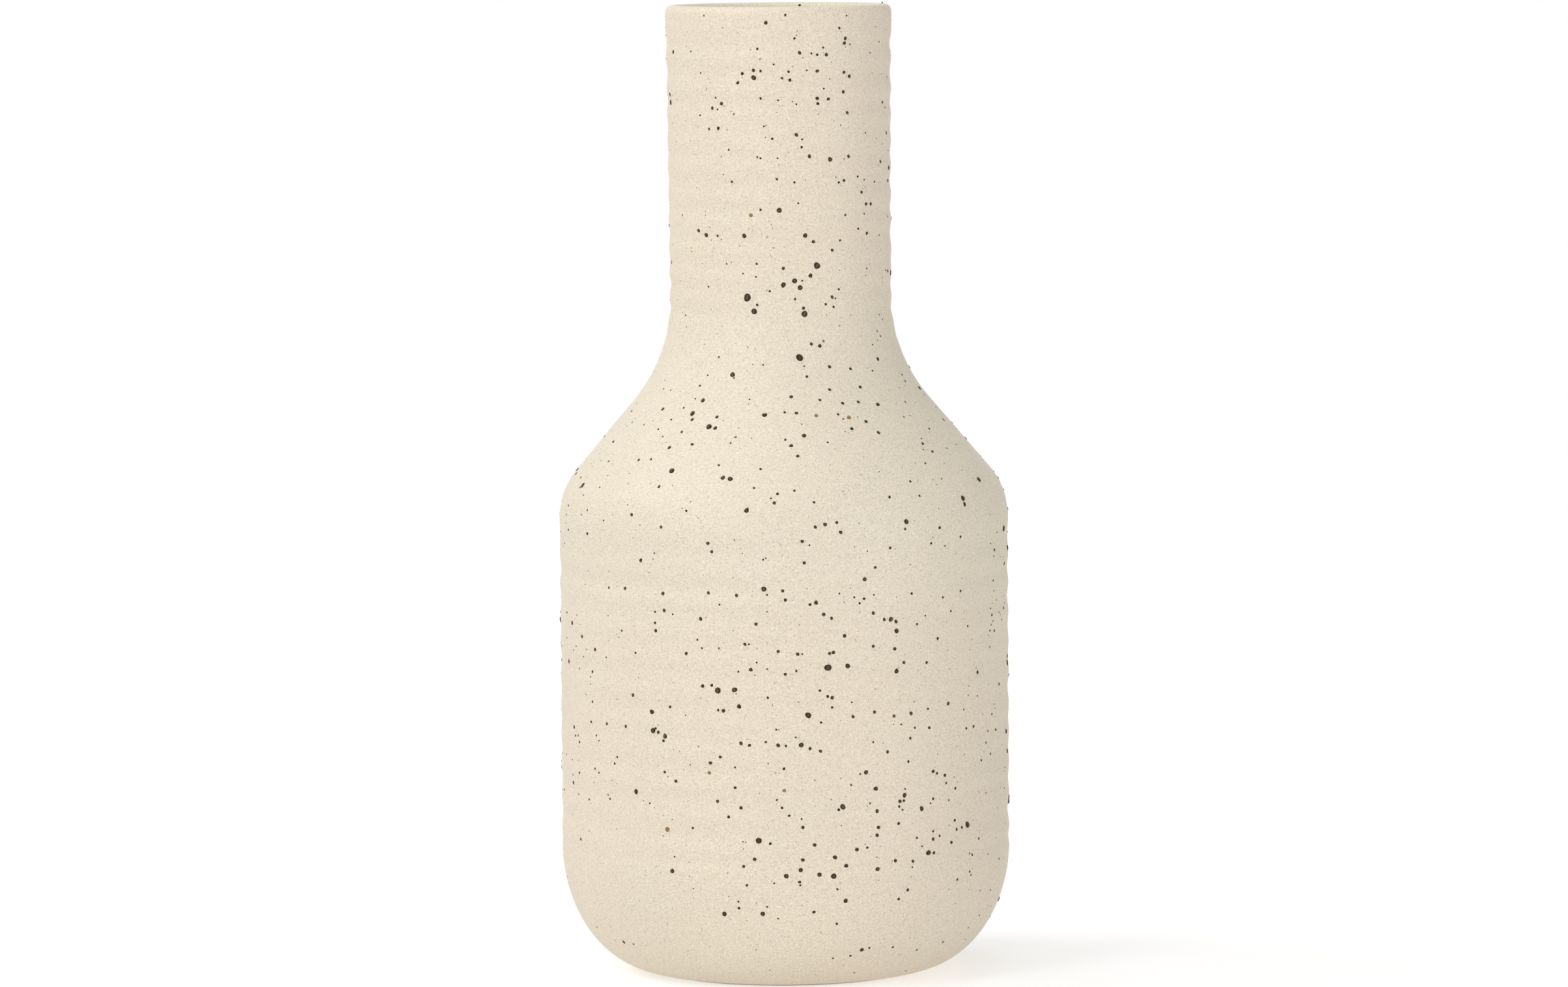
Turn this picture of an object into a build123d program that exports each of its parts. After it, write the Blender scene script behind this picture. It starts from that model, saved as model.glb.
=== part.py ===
from build123d import *

import math
import os
import random

# A thrown stoneware bottle vase under a speckled glaze, in millimetres.
# The vase turns about Z and its foot ring stands on Z = 0. The front of the vase faces -Y.

# Overall sizes, measured on the glaze
height = 290.0
neck_length = 88.0
rim_radius = 33.9
neck_radius = 33.3
barrel_radius = 67.45
foot_radius = 39.0

# Curves of the outline
neck_curve_radius = 46.0
shoulder_curve_radius = 22.7
shoulder_slope_deg = 40.1
base_curve_height = 38.5

# Walls and coats
wall = 4.2
floor_thickness = 6.5
glaze = 0.5

# Foot ring, bare clay
foot_lift = 0.5
foot_ring_width = 7.0
foot_recess = 1.2
foot_recess_draft = 0.6

# Throwing rings left by the fingers
neck_ring_pitch = 7.8
neck_ring_depth = 0.24
barrel_ring_pitch = 8.9
barrel_ring_depth = 0.32
quarters_per_ring = 4

# Specks that stand on the glaze
speck_width = 2.3
speck_thickness = 0.28
speck_seat = 0.1
speck_crown_share = 0.62
speck_corner_shares = (0.94, 1.0, 0.86, 0.97, 0.9, 1.0, 0.84)
speck_seed = 23
surface_probe = 0.05

# Specks on the front: share of the height, share of a turn from the front, share of the speck's width
front_iron_shares = (
    (0.962, 0.098, 0.50), (0.928, -0.036, 0.67), (0.844, 0.074, 0.63), (0.793, -0.001, 0.68),
    (0.767, -0.052, 0.60), (0.767, -0.115, 0.61), (0.767, 0.036, 0.61), (0.736, 0.053, 0.88),
    (0.726, 0.043, 0.55), (0.721, 0.020, 0.68), (0.717, 0.004, 0.66), (0.714, 0.028, 0.67),
    (0.704, -0.048, 1.00), (0.690, -0.038, 0.77), (0.687, 0.034, 0.83), (0.643, 0.024, 0.94),
    (0.626, -0.062, 0.68), (0.600, -0.092, 0.62), (0.594, 0.111, 0.58), (0.587, -0.018, 0.63),
    (0.587, -0.098, 0.73), (0.575, -0.073, 0.80), (0.574, -0.066, 0.55), (0.567, 0.020, 0.60),
    (0.532, -0.093, 0.78), (0.527, -0.047, 0.61), (0.526, -0.041, 0.69), (0.514, 0.184, 0.75),
    (0.499, 0.149, 0.75), (0.493, 0.149, 0.58), (0.496, -0.026, 0.64), (0.481, 0.090, 0.68),
    (0.417, -0.014, 0.67), (0.425, 0.057, 0.55), (0.403, 0.022, 0.54), (0.383, 0.077, 0.63),
    (0.371, 0.081, 0.63), (0.352, 0.034, 0.48), (0.337, 0.030, 0.91), (0.338, 0.044, 0.65),
    (0.330, 0.081, 0.63), (0.314, -0.047, 0.80), (0.315, -0.035, 0.68), (0.289, -0.099, 0.65),
    (0.298, -0.032, 0.58), (0.289, 0.016, 0.78), (0.270, -0.098, 0.74), (0.265, -0.088, 0.63),
    (0.259, 0.011, 0.64), (0.229, 0.057, 0.58), (0.212, 0.064, 0.60), (0.206, -0.114, 0.67),
    (0.203, 0.087, 0.62), (0.195, 0.040, 0.72), (0.188, 0.101, 0.63), (0.165, 0.148, 0.85),
    (0.162, -0.019, 0.79), (0.142, 0.107, 0.73), (0.144, 0.034, 0.57), (0.135, 0.042, 0.54),
    (0.130, 0.065, 0.57), (0.128, -0.083, 0.60), (0.132, 0.010, 0.56), (0.126, 0.000, 0.62),
    (0.127, 0.023, 0.59), (0.125, 0.033, 0.73), (0.099, 0.042, 0.58), (0.086, -0.045, 0.65),
    (0.087, -0.017, 0.62), (0.045, 0.060, 0.58),
)
front_amber_shares = (
    (0.788, -0.042, 0.52), (0.659, 0.059, 0.37), (0.586, 0.035, 0.50), (0.583, 0.069, 0.58),
    (0.230, -0.054, 0.48), (0.213, -0.001, 0.46), (0.170, -0.087, 0.68),
)

# Specks strewn over the sides and back, where no place is given
front_turn_share = 0.36
back_iron_count = 110
back_amber_count = 9
strewn_height_shares = (0.05, 0.97)
strewn_width_shares = (0.5, 0.95)

# Places worked out from the sizes above
slope = math.radians(shoulder_slope_deg)
lip_radius = wall / 2
lip_z = height - lip_radius
neck_base_z = height - neck_length
neck_run = lip_z - neck_base_z
cone_top_radius = neck_radius + neck_curve_radius * (1 - math.cos(slope))
cone_top_z = neck_base_z - neck_curve_radius * math.sin(slope)
cone_foot_radius = barrel_radius - shoulder_curve_radius * (1 - math.cos(slope))
cone_foot_z = cone_top_z - (cone_foot_radius - cone_top_radius) / math.tan(slope)
barrel_top_z = cone_foot_z - shoulder_curve_radius * math.sin(slope)
barrel_foot_z = foot_lift + base_curve_height
barrel_run = barrel_top_z - barrel_foot_z
base_curve_width = barrel_radius - foot_radius
floor_z = foot_lift + floor_thickness
neck_rings = round(neck_run / neck_ring_pitch)
barrel_rings = round(barrel_run / barrel_ring_pitch)


def ring_dip(run_share, rings, ring_depth):
    """Depth of the throwing rings at a share of their run, nothing at both ends."""
    return ring_depth * (1 - math.cos(2 * math.pi * rings * run_share)) / 2


def neck_radius_at(run_share):
    """Radius of the neck without rings: straight at its base, a little wider at the rim."""
    return neck_radius + (rim_radius - neck_radius) * run_share**2


def ringed_edges(point_at, rings):
    """Chain of arcs over the rings: half an arc at each end, and one arc for each crest and dip between."""
    quarters = rings * quarters_per_ring
    arcs = [ThreePointArc(point_at(0), point_at(0.5 / quarters), point_at(1 / quarters))]
    for quarter in range(1, quarters - 1, 2):
        arcs.append(ThreePointArc(*(point_at((quarter + step) / quarters) for step in range(3))))
    arcs.append(ThreePointArc(point_at(1 - 1 / quarters), point_at(1 - 0.5 / quarters), point_at(1)))
    return arcs


def neck_edges(depth, ringed):
    """Edges of the neck's wall, a depth under the outside of the glaze."""
    ring_depth = neck_ring_depth if ringed else 0

    def point_at(share):
        radius = neck_radius_at(share) - ring_dip(share, neck_rings, ring_depth) - depth
        return (radius, neck_base_z + neck_run * share)

    if ringed:
        return ringed_edges(point_at, neck_rings)
    return [ThreePointArc(point_at(0), point_at(0.5), point_at(1))]


def barrel_edges(depth, ringed):
    """Edges of the barrel's wall, a depth under the outside of the glaze."""

    def point_at(share):
        radius = barrel_radius - ring_dip(share, barrel_rings, barrel_ring_depth) - depth
        return (radius, barrel_foot_z + barrel_run * share)

    if ringed:
        return ringed_edges(point_at, barrel_rings)
    return [Line(point_at(0), point_at(1))]


def wall_edges(depth, base_width, base_height, ringed):
    """Edges of one surface of the wall, from the flat of its base up to the lip.

    All of them lie the same depth under the outside of the glaze, and the base curve is a quarter of an
    ellipse of the given width and height.
    """
    base_centre = (barrel_radius - depth - base_width, barrel_foot_z)
    shoulder_centre = (barrel_radius - shoulder_curve_radius, barrel_top_z)
    neck_centre = (neck_radius + neck_curve_radius, neck_base_z)
    base_curve = EllipticalCenterArc(base_centre, base_width, base_height, start_angle=270, arc_size=90)
    shoulder_curve = CenterArc(shoulder_centre, shoulder_curve_radius - depth, 0, shoulder_slope_deg)
    neck_curve = CenterArc(neck_centre, neck_curve_radius + depth, 180, shoulder_slope_deg)
    cone = Line(shoulder_curve @ 1, neck_curve @ 1)
    barrel = barrel_edges(depth, ringed)
    neck = neck_edges(depth, ringed)
    return [base_curve, *barrel, shoulder_curve, cone, neck_curve, *neck]


def lip_edge(depth):
    """Half circle over the lip, a depth under the outside of the glaze."""
    return CenterArc((rim_radius - lip_radius, lip_z), lip_radius - depth, 0, 180)


def turned(edges):
    """Solid made by turning a closed outline about the vase's axis."""
    return revolve(Plane.XZ * make_face(edges), Axis.Z)


def edges_through(points):
    """Straight edges from each point to the next."""
    return [Line(start, end) for start, end in zip(points, points[1:])]


# The four surfaces of the wall, from outside to inside
floor_curve_width = base_curve_width - wall
floor_curve_height = barrel_foot_z - floor_z
glaze_outside = wall_edges(0, base_curve_width, base_curve_height, True)
clay_outside = wall_edges(glaze, base_curve_width - glaze, base_curve_height - glaze, True)
clay_inside = wall_edges(wall - glaze, floor_curve_width + glaze, floor_curve_height + glaze, False)
glaze_inside = wall_edges(wall, floor_curve_width, floor_curve_height, False)
mouth_radius = rim_radius - wall
clay_mouth_radius = mouth_radius + glaze


def clay_body():
    """Wall, floor, foot ring and lip of bare clay."""
    recess_radius = foot_radius - foot_ring_width
    underside = edges_through([
        (0, floor_z - glaze),
        (0, foot_recess),
        (recess_radius - foot_recess_draft, foot_recess),
        (recess_radius, 0),
        (foot_radius, 0),
        (foot_radius, foot_lift + glaze),
    ])
    floor = Line((foot_radius, floor_z - glaze), (0, floor_z - glaze))
    return turned(underside + clay_outside + [lip_edge(glaze)] + clay_inside + [floor])


def outer_glaze():
    """Coat on the outside, from the foot ring up and over the lip to the mouth."""
    foot_end = Line((foot_radius, foot_lift), (foot_radius, foot_lift + glaze))
    mouth_end = Line((mouth_radius, lip_z), (clay_mouth_radius, lip_z))
    return turned([foot_end] + glaze_outside + [lip_edge(0), mouth_end, lip_edge(glaze)] + clay_outside)


def inner_glaze():
    """Liner coat on the wall inside and on the floor."""
    mouth_end = Line((mouth_radius, lip_z), (clay_mouth_radius, lip_z))
    coat_floor = edges_through([
        (foot_radius, floor_z),
        (0, floor_z),
        (0, floor_z - glaze),
        (foot_radius, floor_z - glaze),
    ])
    return turned(coat_floor + clay_inside + [mouth_end] + glaze_inside)


def radius_at(z):
    """Radius of the glaze's outside at a height."""
    if z >= neck_base_z:
        share = (z - neck_base_z) / neck_run
        return neck_radius_at(share) - ring_dip(share, neck_rings, neck_ring_depth)
    if z >= cone_top_z:
        drop = neck_base_z - z
        return neck_radius + neck_curve_radius - math.sqrt(neck_curve_radius**2 - drop**2)
    if z >= cone_foot_z:
        return cone_top_radius + (cone_top_z - z) * math.tan(slope)
    if z >= barrel_top_z:
        rise = z - barrel_top_z
        return barrel_radius - shoulder_curve_radius + math.sqrt(shoulder_curve_radius**2 - rise**2)
    if z >= barrel_foot_z:
        return barrel_radius - ring_dip((z - barrel_foot_z) / barrel_run, barrel_rings, barrel_ring_depth)
    drop_share = (barrel_foot_z - z) / base_curve_height
    return foot_radius + base_curve_width * math.sqrt(1 - drop_share**2)


def outward_at(turn_share):
    """Direction straight out from the axis at a share of a turn from the front."""
    turn = 2 * math.pi * turn_share
    return Vector(math.sin(turn), -math.cos(turn), 0)


def glaze_point(height_share, turn_share):
    """Point on the glaze at a share of the height and of a turn from the front."""
    z = height * height_share
    return outward_at(turn_share) * radius_at(z) + Vector(0, 0, 1) * z


def speck_plane(height_share, turn_share):
    """Plane that lies on the glaze at a share of the height and of a turn from the front."""
    z = height * height_share
    flare = (radius_at(z + surface_probe) - radius_at(z - surface_probe)) / (2 * surface_probe)
    normal = (outward_at(turn_share) - Vector(0, 0, 1) * flare).normalized()
    return Plane(origin=glaze_point(height_share, turn_share) + normal * speck_seat, z_dir=normal)


def speck(height_share, turn_share, width_share, spin_deg):
    """One speck: a low uneven boss with sloping sides, flat underneath."""
    radius = speck_width * width_share / 2
    crown_lift = Vector(0, 0, 1) * speck_thickness * width_share
    base = []
    for index, corner_share in enumerate(speck_corner_shares):
        corner = Vector(1, 0, 0) * radius * corner_share
        base.append(corner.rotate(Axis.Z, spin_deg + 360 * index / len(speck_corner_shares)))
    crown = [corner * speck_crown_share + crown_lift for corner in base]
    faces = [Face(Wire.make_polygon(base)), Face(Wire.make_polygon(crown))]
    for index, corner in enumerate(base):
        side = [base[index - 1], corner, crown[index], crown[index - 1]]
        faces.append(Face(Wire.make_polygon(side)))
    return speck_plane(height_share, turn_share).location * Solid(Shell(faces))


def keeps_clear(place_shares, other_shares):
    """Whether a speck touches none of the others."""
    height_share, turn_share, width_share = place_shares
    middle = glaze_point(height_share, turn_share)
    for other_height_share, other_turn_share, other_width_share in other_shares:
        distance = (glaze_point(other_height_share, other_turn_share) - middle).length
        if distance < speck_width * (width_share + other_width_share) / 2:
            return False
    return True


def strewn_shares(count, taken_shares, draw):
    """Places and widths of specks on the sides and back, clear of those that are already placed.

    They are as dense on the neck as on the barrel.
    """
    low_share, high_share = strewn_height_shares
    shares = []
    while len(shares) < count:
        height_share = draw.uniform(low_share, high_share)
        turn_share = draw.uniform(front_turn_share / 2, 1 - front_turn_share / 2)
        width_share = draw.triangular(*strewn_width_shares, strewn_width_shares[0])
        place_shares = (height_share, turn_share, width_share)
        chosen = draw.random() * barrel_radius < radius_at(height * height_share)
        if chosen and keeps_clear(place_shares, [*taken_shares, *shares]):
            shares.append(place_shares)
    return shares


def specks(shares, draw):
    """All specks of one kind, as one group of separate solids."""
    return Compound([speck(*place_shares, draw.uniform(0, 360)) for place_shares in shares])


# Places of all specks, front first
draw = random.Random(speck_seed)
front_shares = [*front_iron_shares, *front_amber_shares]
back_iron_shares = strewn_shares(back_iron_count, front_shares, draw)
back_amber_shares = strewn_shares(back_amber_count, [*front_shares, *back_iron_shares], draw)

# Every node is written to its own file
nodes = {
    "clay_body": clay_body(),
    "outer_glaze": outer_glaze(),
    "inner_glaze": inner_glaze(),
    "iron_specks": specks([*front_iron_shares, *back_iron_shares], draw),
    "amber_specks": specks([*front_amber_shares, *back_amber_shares], draw),
}
os.makedirs("parts", exist_ok=True)
for name, shape in nodes.items():
    export_step(shape, f"parts/{name}.step")
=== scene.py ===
"""Looks of a thrown stoneware bottle vase under a speckled cream glaze.

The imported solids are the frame. The clay and its two coats of glaze are remade as finely turned shells with
uneven throwing rings, and the specks as melted blisters that sit on the glaze.
Lengths are in metres, +Z is up and the front of the vase faces -Y.
"""

from __future__ import annotations

import logging
import math
import random
from dataclasses import dataclass, field
from enum import Enum
from functools import cache

import bpy
import numpy as np
from mathutils import Matrix, Vector

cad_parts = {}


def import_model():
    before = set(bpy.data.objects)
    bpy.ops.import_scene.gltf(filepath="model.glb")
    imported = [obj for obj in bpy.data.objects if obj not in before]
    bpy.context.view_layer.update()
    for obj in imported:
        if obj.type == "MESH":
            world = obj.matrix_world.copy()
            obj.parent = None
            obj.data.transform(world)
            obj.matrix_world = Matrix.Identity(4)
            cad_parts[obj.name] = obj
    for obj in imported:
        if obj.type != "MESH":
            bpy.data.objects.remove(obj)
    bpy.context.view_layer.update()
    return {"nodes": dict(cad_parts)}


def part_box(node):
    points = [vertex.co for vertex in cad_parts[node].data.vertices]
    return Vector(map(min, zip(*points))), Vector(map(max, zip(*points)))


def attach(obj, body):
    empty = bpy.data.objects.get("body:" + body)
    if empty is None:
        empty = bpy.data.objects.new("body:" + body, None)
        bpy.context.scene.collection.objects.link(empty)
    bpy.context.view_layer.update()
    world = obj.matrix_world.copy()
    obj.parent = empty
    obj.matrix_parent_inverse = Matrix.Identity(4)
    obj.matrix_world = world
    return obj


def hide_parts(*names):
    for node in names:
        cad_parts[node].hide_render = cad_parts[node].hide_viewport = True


LOG = logging.getLogger("vase")
MM = 0.001
BODY = "root"

Colour = tuple[float, float, float]
Pixel = tuple[float, float]
Pair = tuple[float, float]
Socket = bpy.types.NodeSocket


class Node(str, Enum):
    """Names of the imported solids."""

    CLAY = "clay_body"
    OUTER_GLAZE = "outer_glaze"
    INNER_GLAZE = "inner_glaze"
    IRON = "iron_specks"
    AMBER = "amber_specks"


class Slot(str, Enum):
    """Names of the record's material slots."""

    STONEWARE = "stoneware"
    GLAZE = "speckled_glaze"
    LINER = "liner_glaze"
    IRON = "iron_speck"
    AMBER = "amber_speck"


class SpeckWidth(float, Enum):
    """Widths of the smaller specks."""

    TINY = 0.45 * MM
    FINE = 0.62 * MM
    SMALL = 0.80 * MM
    MEDIUM = 0.96 * MM
    LARGE = 1.12 * MM


class Blend(str, Enum):
    """Ways to lay one colour over another."""

    MIX = "MIX"
    MULTIPLY = "MULTIPLY"


class ShaderGraph:
    """Lays and joins the nodes of one material."""

    def __init__(self, name: str) -> None:
        """Starts an empty material.

        Args:
            name: name of the material.
        """
        self.material = bpy.data.materials.new(name)
        self.material.use_nodes = True
        self.tree = self.material.node_tree
        self.tree.nodes.clear()
        self.output = self.add("ShaderNodeOutputMaterial")

    def add(self, kind: str, **sockets: object) -> bpy.types.Node:
        """Adds a node and sets or joins its sockets.

        Args:
            kind: Blender's name of the node.
            sockets: value or output for each input, with spaces in its name written as underscores.

        Returns:
            The new node.
        """
        node = self.tree.nodes.new(kind)
        for name, value in sockets.items():
            self.put(node.inputs[name.replace("_", " ")], value)
        return node

    def put(self, socket: Socket, value: object) -> None:
        """Joins an output to a socket, or sets the socket's own value.

        Args:
            socket: the input to feed.
            value: an output of another node, a number, a colour or a vector.
        """
        if isinstance(value, Socket):
            self.tree.links.new(value, socket)
        elif isinstance(value, tuple) and socket.type == "RGBA":
            socket.default_value = (*value, 1.0)
        else:
            socket.default_value = value

    def sum(self, operation: str, first: object, second: object = 0.0) -> Socket:
        """Result of one sum of two numbers.

        Args:
            operation: Blender's name of the sum.
            first: first number or output.
            second: second number or output.

        Returns:
            The output that holds the result.
        """
        node = self.tree.nodes.new("ShaderNodeMath")
        node.operation = operation
        self.put(node.inputs[0], first)
        self.put(node.inputs[1], second)
        return node.outputs[0]

    def lay(self, share: object, under: object, over: object, blend: Blend = Blend.MIX) -> Socket:
        """Lays one colour over another.

        Args:
            share: how much of the upper colour shows, from 0 to 1.
            under: lower colour.
            over: upper colour.
            blend: way to mix the two.

        Returns:
            The output that holds the mixed colour.
        """
        node = self.tree.nodes.new("ShaderNodeMix")
        node.data_type = "RGBA"
        node.blend_type = blend.value
        self.put(node.inputs[0], share)
        self.put(node.inputs[6], under)
        self.put(node.inputs[7], over)
        return node.outputs[2]

    def shade(self, colour: object, tone: Socket) -> Socket:
        """Colour made lighter or darker by a tone.

        Args:
            colour: colour or output.
            tone: factor for all three channels.

        Returns:
            The output that holds the shaded colour.
        """
        grey = self.add("ShaderNodeCombineColor", Red=tone, Green=tone, Blue=tone)
        return self.lay(1.0, colour, grey.outputs[0], Blend.MULTIPLY)

    def span(
        self, value: object, low: float, high: float, to_low: float = 0.0, to_high: float = 1.0
    ) -> Socket:
        """Maps a range of numbers smoothly onto another and clips what lies outside.

        Args:
            value: number to map.
            low: start of the range.
            high: end of the range.
            to_low: result at the start.
            to_high: result at the end.

        Returns:
            The output that holds the mapped number.
        """
        node = self.tree.nodes.new("ShaderNodeMapRange")
        node.interpolation_type = "SMOOTHSTEP"
        for socket, given in zip(node.inputs[:5], (value, low, high, to_low, to_high)):
            self.put(socket, given)
        return node.outputs[0]

    def place(self, stretch: tuple[float, float, float] = (1.0, 1.0, 1.0)) -> Socket:
        """Place on the object in metres, stretched along its axes.

        Args:
            stretch: factor along each axis.

        Returns:
            The output that holds the place.
        """
        coordinate = self.add("ShaderNodeTexCoord")
        mapping = self.add("ShaderNodeMapping", Vector=coordinate.outputs["Object"], Scale=stretch)
        return mapping.outputs[0]

    def noise(self, place: object, size: float, detail: float = 2.0, rough: float = 0.5) -> Socket:
        """Cloudy noise from 0 to 1.

        Args:
            place: place on the object.
            size: size of one cloud in metres.
            detail: number of finer layers.
            rough: strength of the finer layers.

        Returns:
            The output that holds the noise.
        """
        node = self.add("ShaderNodeTexNoise", Vector=place, Scale=1.0 / size, Detail=detail, Roughness=rough)
        return node.outputs["Fac"]

    def dots(self, place: object, pitch: float, width: float, share: float) -> Socket:
        """Round dots strewn over the surface, 1 inside a dot and 0 outside.

        Args:
            place: place on the object.
            pitch: mean distance of the places where a dot may be, in metres.
            width: width of a dot in metres.
            share: share of those places that hold a dot.

        Returns:
            The output that holds the dots.
        """
        cells = self.add("ShaderNodeTexVoronoi", Vector=place, Scale=1.0 / pitch)
        reach = width / (2.0 * pitch)
        disc = self.span(cells.outputs["Distance"], reach * 0.45, reach * 1.15, 1.0, 0.0)
        channels = self.add("ShaderNodeSeparateColor", Color=cells.outputs["Color"])
        chosen = self.sum("LESS_THAN", channels.outputs[0], share)
        strength = self.span(channels.outputs[1], 0.0, 1.0, 0.35, 1.0)
        return self.sum("MULTIPLY", self.sum("MULTIPLY", disc, chosen), strength)

    def bump(self, height: object, depth: float, under: object = None) -> Socket:
        """Normal of a fine relief.

        Args:
            height: relief from 0 to 1.
            depth: depth of the relief in metres.
            under: normal of a coarser relief below it.

        Returns:
            The output that holds the normal.
        """
        node = self.add("ShaderNodeBump", Height=height, Distance=depth)
        if under is not None:
            self.put(node.inputs["Normal"], under)
        return node.outputs[0]

    def finish(self, shader: bpy.types.Node) -> bpy.types.Material:
        """Joins the shader to the material's output and returns the material."""
        self.tree.links.new(shader.outputs[0], self.output.inputs["Surface"])
        return self.material


@dataclass(frozen=True)
class Finish:
    """A look that a piece can wear.

    Attributes:
        name: name of the material.
    """

    name: str

    def material(self) -> bpy.types.Material:
        """Builds the material."""
        raise NotImplementedError


@dataclass(frozen=True)
class CreamGlaze(Finish):
    """Matt cream glaze with fine brown pepper, faint bands along the rings and a soft mottle.

    Attributes:
        cream: main colour.
        warm: warmer, slightly pink colour of the bands.
        cool: cooler colour of the shoulder and of faint clouds.
        pepper: colour of the fine dots.
        roughness: least and greatest roughness.
        band_size: height of the bands.
        cloud_size: size of the clouds.
        mottle_size: size of the mottle.
        grain_size: size of the finest grain.
        shoulder_start: heights between which the shoulder's cooler colour sets in.
        shoulder_end: heights between which it goes.
    """

    name: str = "matt_cream_glaze"
    cream: Colour = (0.879, 0.779, 0.619)
    warm: Colour = (0.883, 0.772, 0.620)
    cool: Colour = (0.866, 0.780, 0.624)
    pepper: Colour = (0.30, 0.23, 0.14)
    roughness: Pair = (0.52, 0.66)
    band_size: float = 9 * MM
    cloud_size: float = 34 * MM
    mottle_size: float = 0.55 * MM
    grain_size: float = 0.3 * MM
    shoulder_start: Pair = (90 * MM, 140 * MM)
    shoulder_end: Pair = (180 * MM, 230 * MM)

    @cache
    def material(self) -> bpy.types.Material:
        """Builds the material once.

        Returns:
            The finished material.
        """
        graph = ShaderGraph(self.name)
        place = graph.place()
        bands = graph.noise(graph.place((0.12, 0.12, 1.0)), self.band_size, 3.0)
        clouds = graph.noise(place, self.cloud_size, 3.0)
        mottle = graph.noise(place, self.mottle_size, 2.0, 0.6)
        grain = graph.noise(place, self.grain_size, 1.0)
        colour = graph.lay(graph.span(bands, 0.35, 0.7), self.cream, self.warm)
        height = graph.add("ShaderNodeSeparateXYZ", Vector=place).outputs["Z"]
        rising = graph.span(height, *self.shoulder_start)
        falling = graph.span(height, *self.shoulder_end, 1.0, 0.0)
        cool = graph.sum("MAXIMUM", graph.sum("MULTIPLY", rising, falling), graph.span(clouds, 0.5, 0.85))
        colour = graph.lay(cool, colour, self.cool)
        colour = graph.shade(colour, graph.span(mottle, 0.25, 0.75, 0.89, 1.10))
        colour = graph.shade(colour, graph.span(grain, 0.2, 0.8, 0.87, 1.125))
        fine = graph.dots(place, 1.1 * MM, 0.42 * MM, 0.9)
        sparse = graph.dots(place, 2.6 * MM, 0.55 * MM, 0.3)
        colour = graph.lay(graph.sum("MULTIPLY", fine, 0.7), colour, self.pepper)
        colour = graph.lay(graph.sum("MULTIPLY", sparse, 0.6), colour, self.pepper)
        roughness = graph.span(clouds, 0.3, 0.7, *self.roughness)
        relief = graph.bump(graph.noise(place, 2.4 * MM, 2.0), 0.035 * MM)
        relief = graph.bump(mottle, 0.012 * MM, relief)
        shader = graph.add("ShaderNodeBsdfPrincipled", Base_Color=colour, Roughness=roughness, Normal=relief)
        return graph.finish(shader)


@dataclass(frozen=True)
class LinerGlaze(CreamGlaze):
    """Satin liner glaze on the inside, with painted shade: its colours are a little darker, greyer and
    greener than the outside's.
    """

    name: str = "satin_cream_glaze_painted_shade"
    # Painted shade of the hollow: these colours are darker, greyer and greener than the outside's.
    cream: Colour = (0.80, 0.735, 0.575)
    warm: Colour = (0.80, 0.725, 0.57)
    cool: Colour = (0.765, 0.715, 0.565)
    roughness: tuple[float, float] = (0.4, 0.52)


@dataclass(frozen=True)
class MeltedSpeck(Finish):
    """Glossy melted speck: darkest at its edge, sunk in a little in the middle, with a painted highlight
    there as a paler streak.

    Attributes:
        body: main colour.
        thin: lighter colour of the thin places.
        edge: colour of the edge.
        painted_glint: colour of the painted highlight, a paler streak in the middle.
        roughness: roughness of the melt.
        gloss: strength of its mirror light.
    """

    body: Colour
    thin: Colour
    edge: Colour
    painted_glint: Colour
    roughness: float = 0.28
    gloss: float = 0.13

    @cache
    def material(self) -> bpy.types.Material:
        """Builds the material once.

        Returns:
            The finished material.
        """
        graph = ShaderGraph(self.name)
        place = graph.place()
        melt, painted_glint = (self.share(graph, name) for name in (Specks.MELT, Specks.PAINTED_GLINT))
        thin = graph.noise(place, 0.7 * MM, 2.0)
        colour = graph.lay(graph.span(thin, 0.4, 0.75), self.body, self.thin)
        colour = graph.lay(graph.span(melt, 0.0, 0.8), self.edge, colour)
        # Painted highlight: the paler colour laid along a streak in the middle of the larger specks.
        colour = graph.lay(painted_glint, colour, self.painted_glint)
        relief = graph.bump(graph.noise(place, 0.35 * MM, 2.0), 0.02 * MM)
        shader = graph.add("ShaderNodeBsdfPrincipled", Base_Color=colour, Normal=relief)
        graph.put(shader.inputs["Roughness"], self.roughness)
        graph.put(shader.inputs["Specular IOR Level"], self.gloss)
        return graph.finish(shader)

    @staticmethod
    def share(graph: ShaderGraph, name: str) -> Socket:
        """Output that holds a share stored at the mesh's points."""
        node = graph.add("ShaderNodeAttribute")
        node.attribute_name = name
        return node.outputs["Fac"]


@dataclass(frozen=True)
class BareStoneware(Finish):
    """Unglazed fired clay: dry, sandy and flecked with iron.

    Attributes:
        buff: main colour.
        toast: darker colour where the fire has toasted it.
        iron: colour of the flecks.
    """

    name: str = "bare_stoneware"
    buff: Colour = (0.60, 0.47, 0.34)
    toast: Colour = (0.45, 0.32, 0.21)
    iron: Colour = (0.12, 0.08, 0.05)

    @cache
    def material(self) -> bpy.types.Material:
        """Builds the material once.

        Returns:
            The finished material.
        """
        graph = ShaderGraph(self.name)
        place = graph.place()
        clouds = graph.noise(place, 16 * MM, 3.0)
        sand = graph.noise(place, 0.5 * MM, 3.0, 0.65)
        colour = graph.lay(graph.span(clouds, 0.35, 0.7), self.buff, self.toast)
        colour = graph.lay(graph.span(sand, 0.45, 0.8, 0.0, 0.35), colour, self.toast)
        colour = graph.lay(graph.dots(place, 1.9 * MM, 0.5 * MM, 0.4), colour, self.iron)
        relief = graph.bump(sand, 0.08 * MM)
        shader = graph.add("ShaderNodeBsdfPrincipled", Base_Color=colour, Roughness=0.92, Normal=relief)
        return graph.finish(shader)


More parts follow.
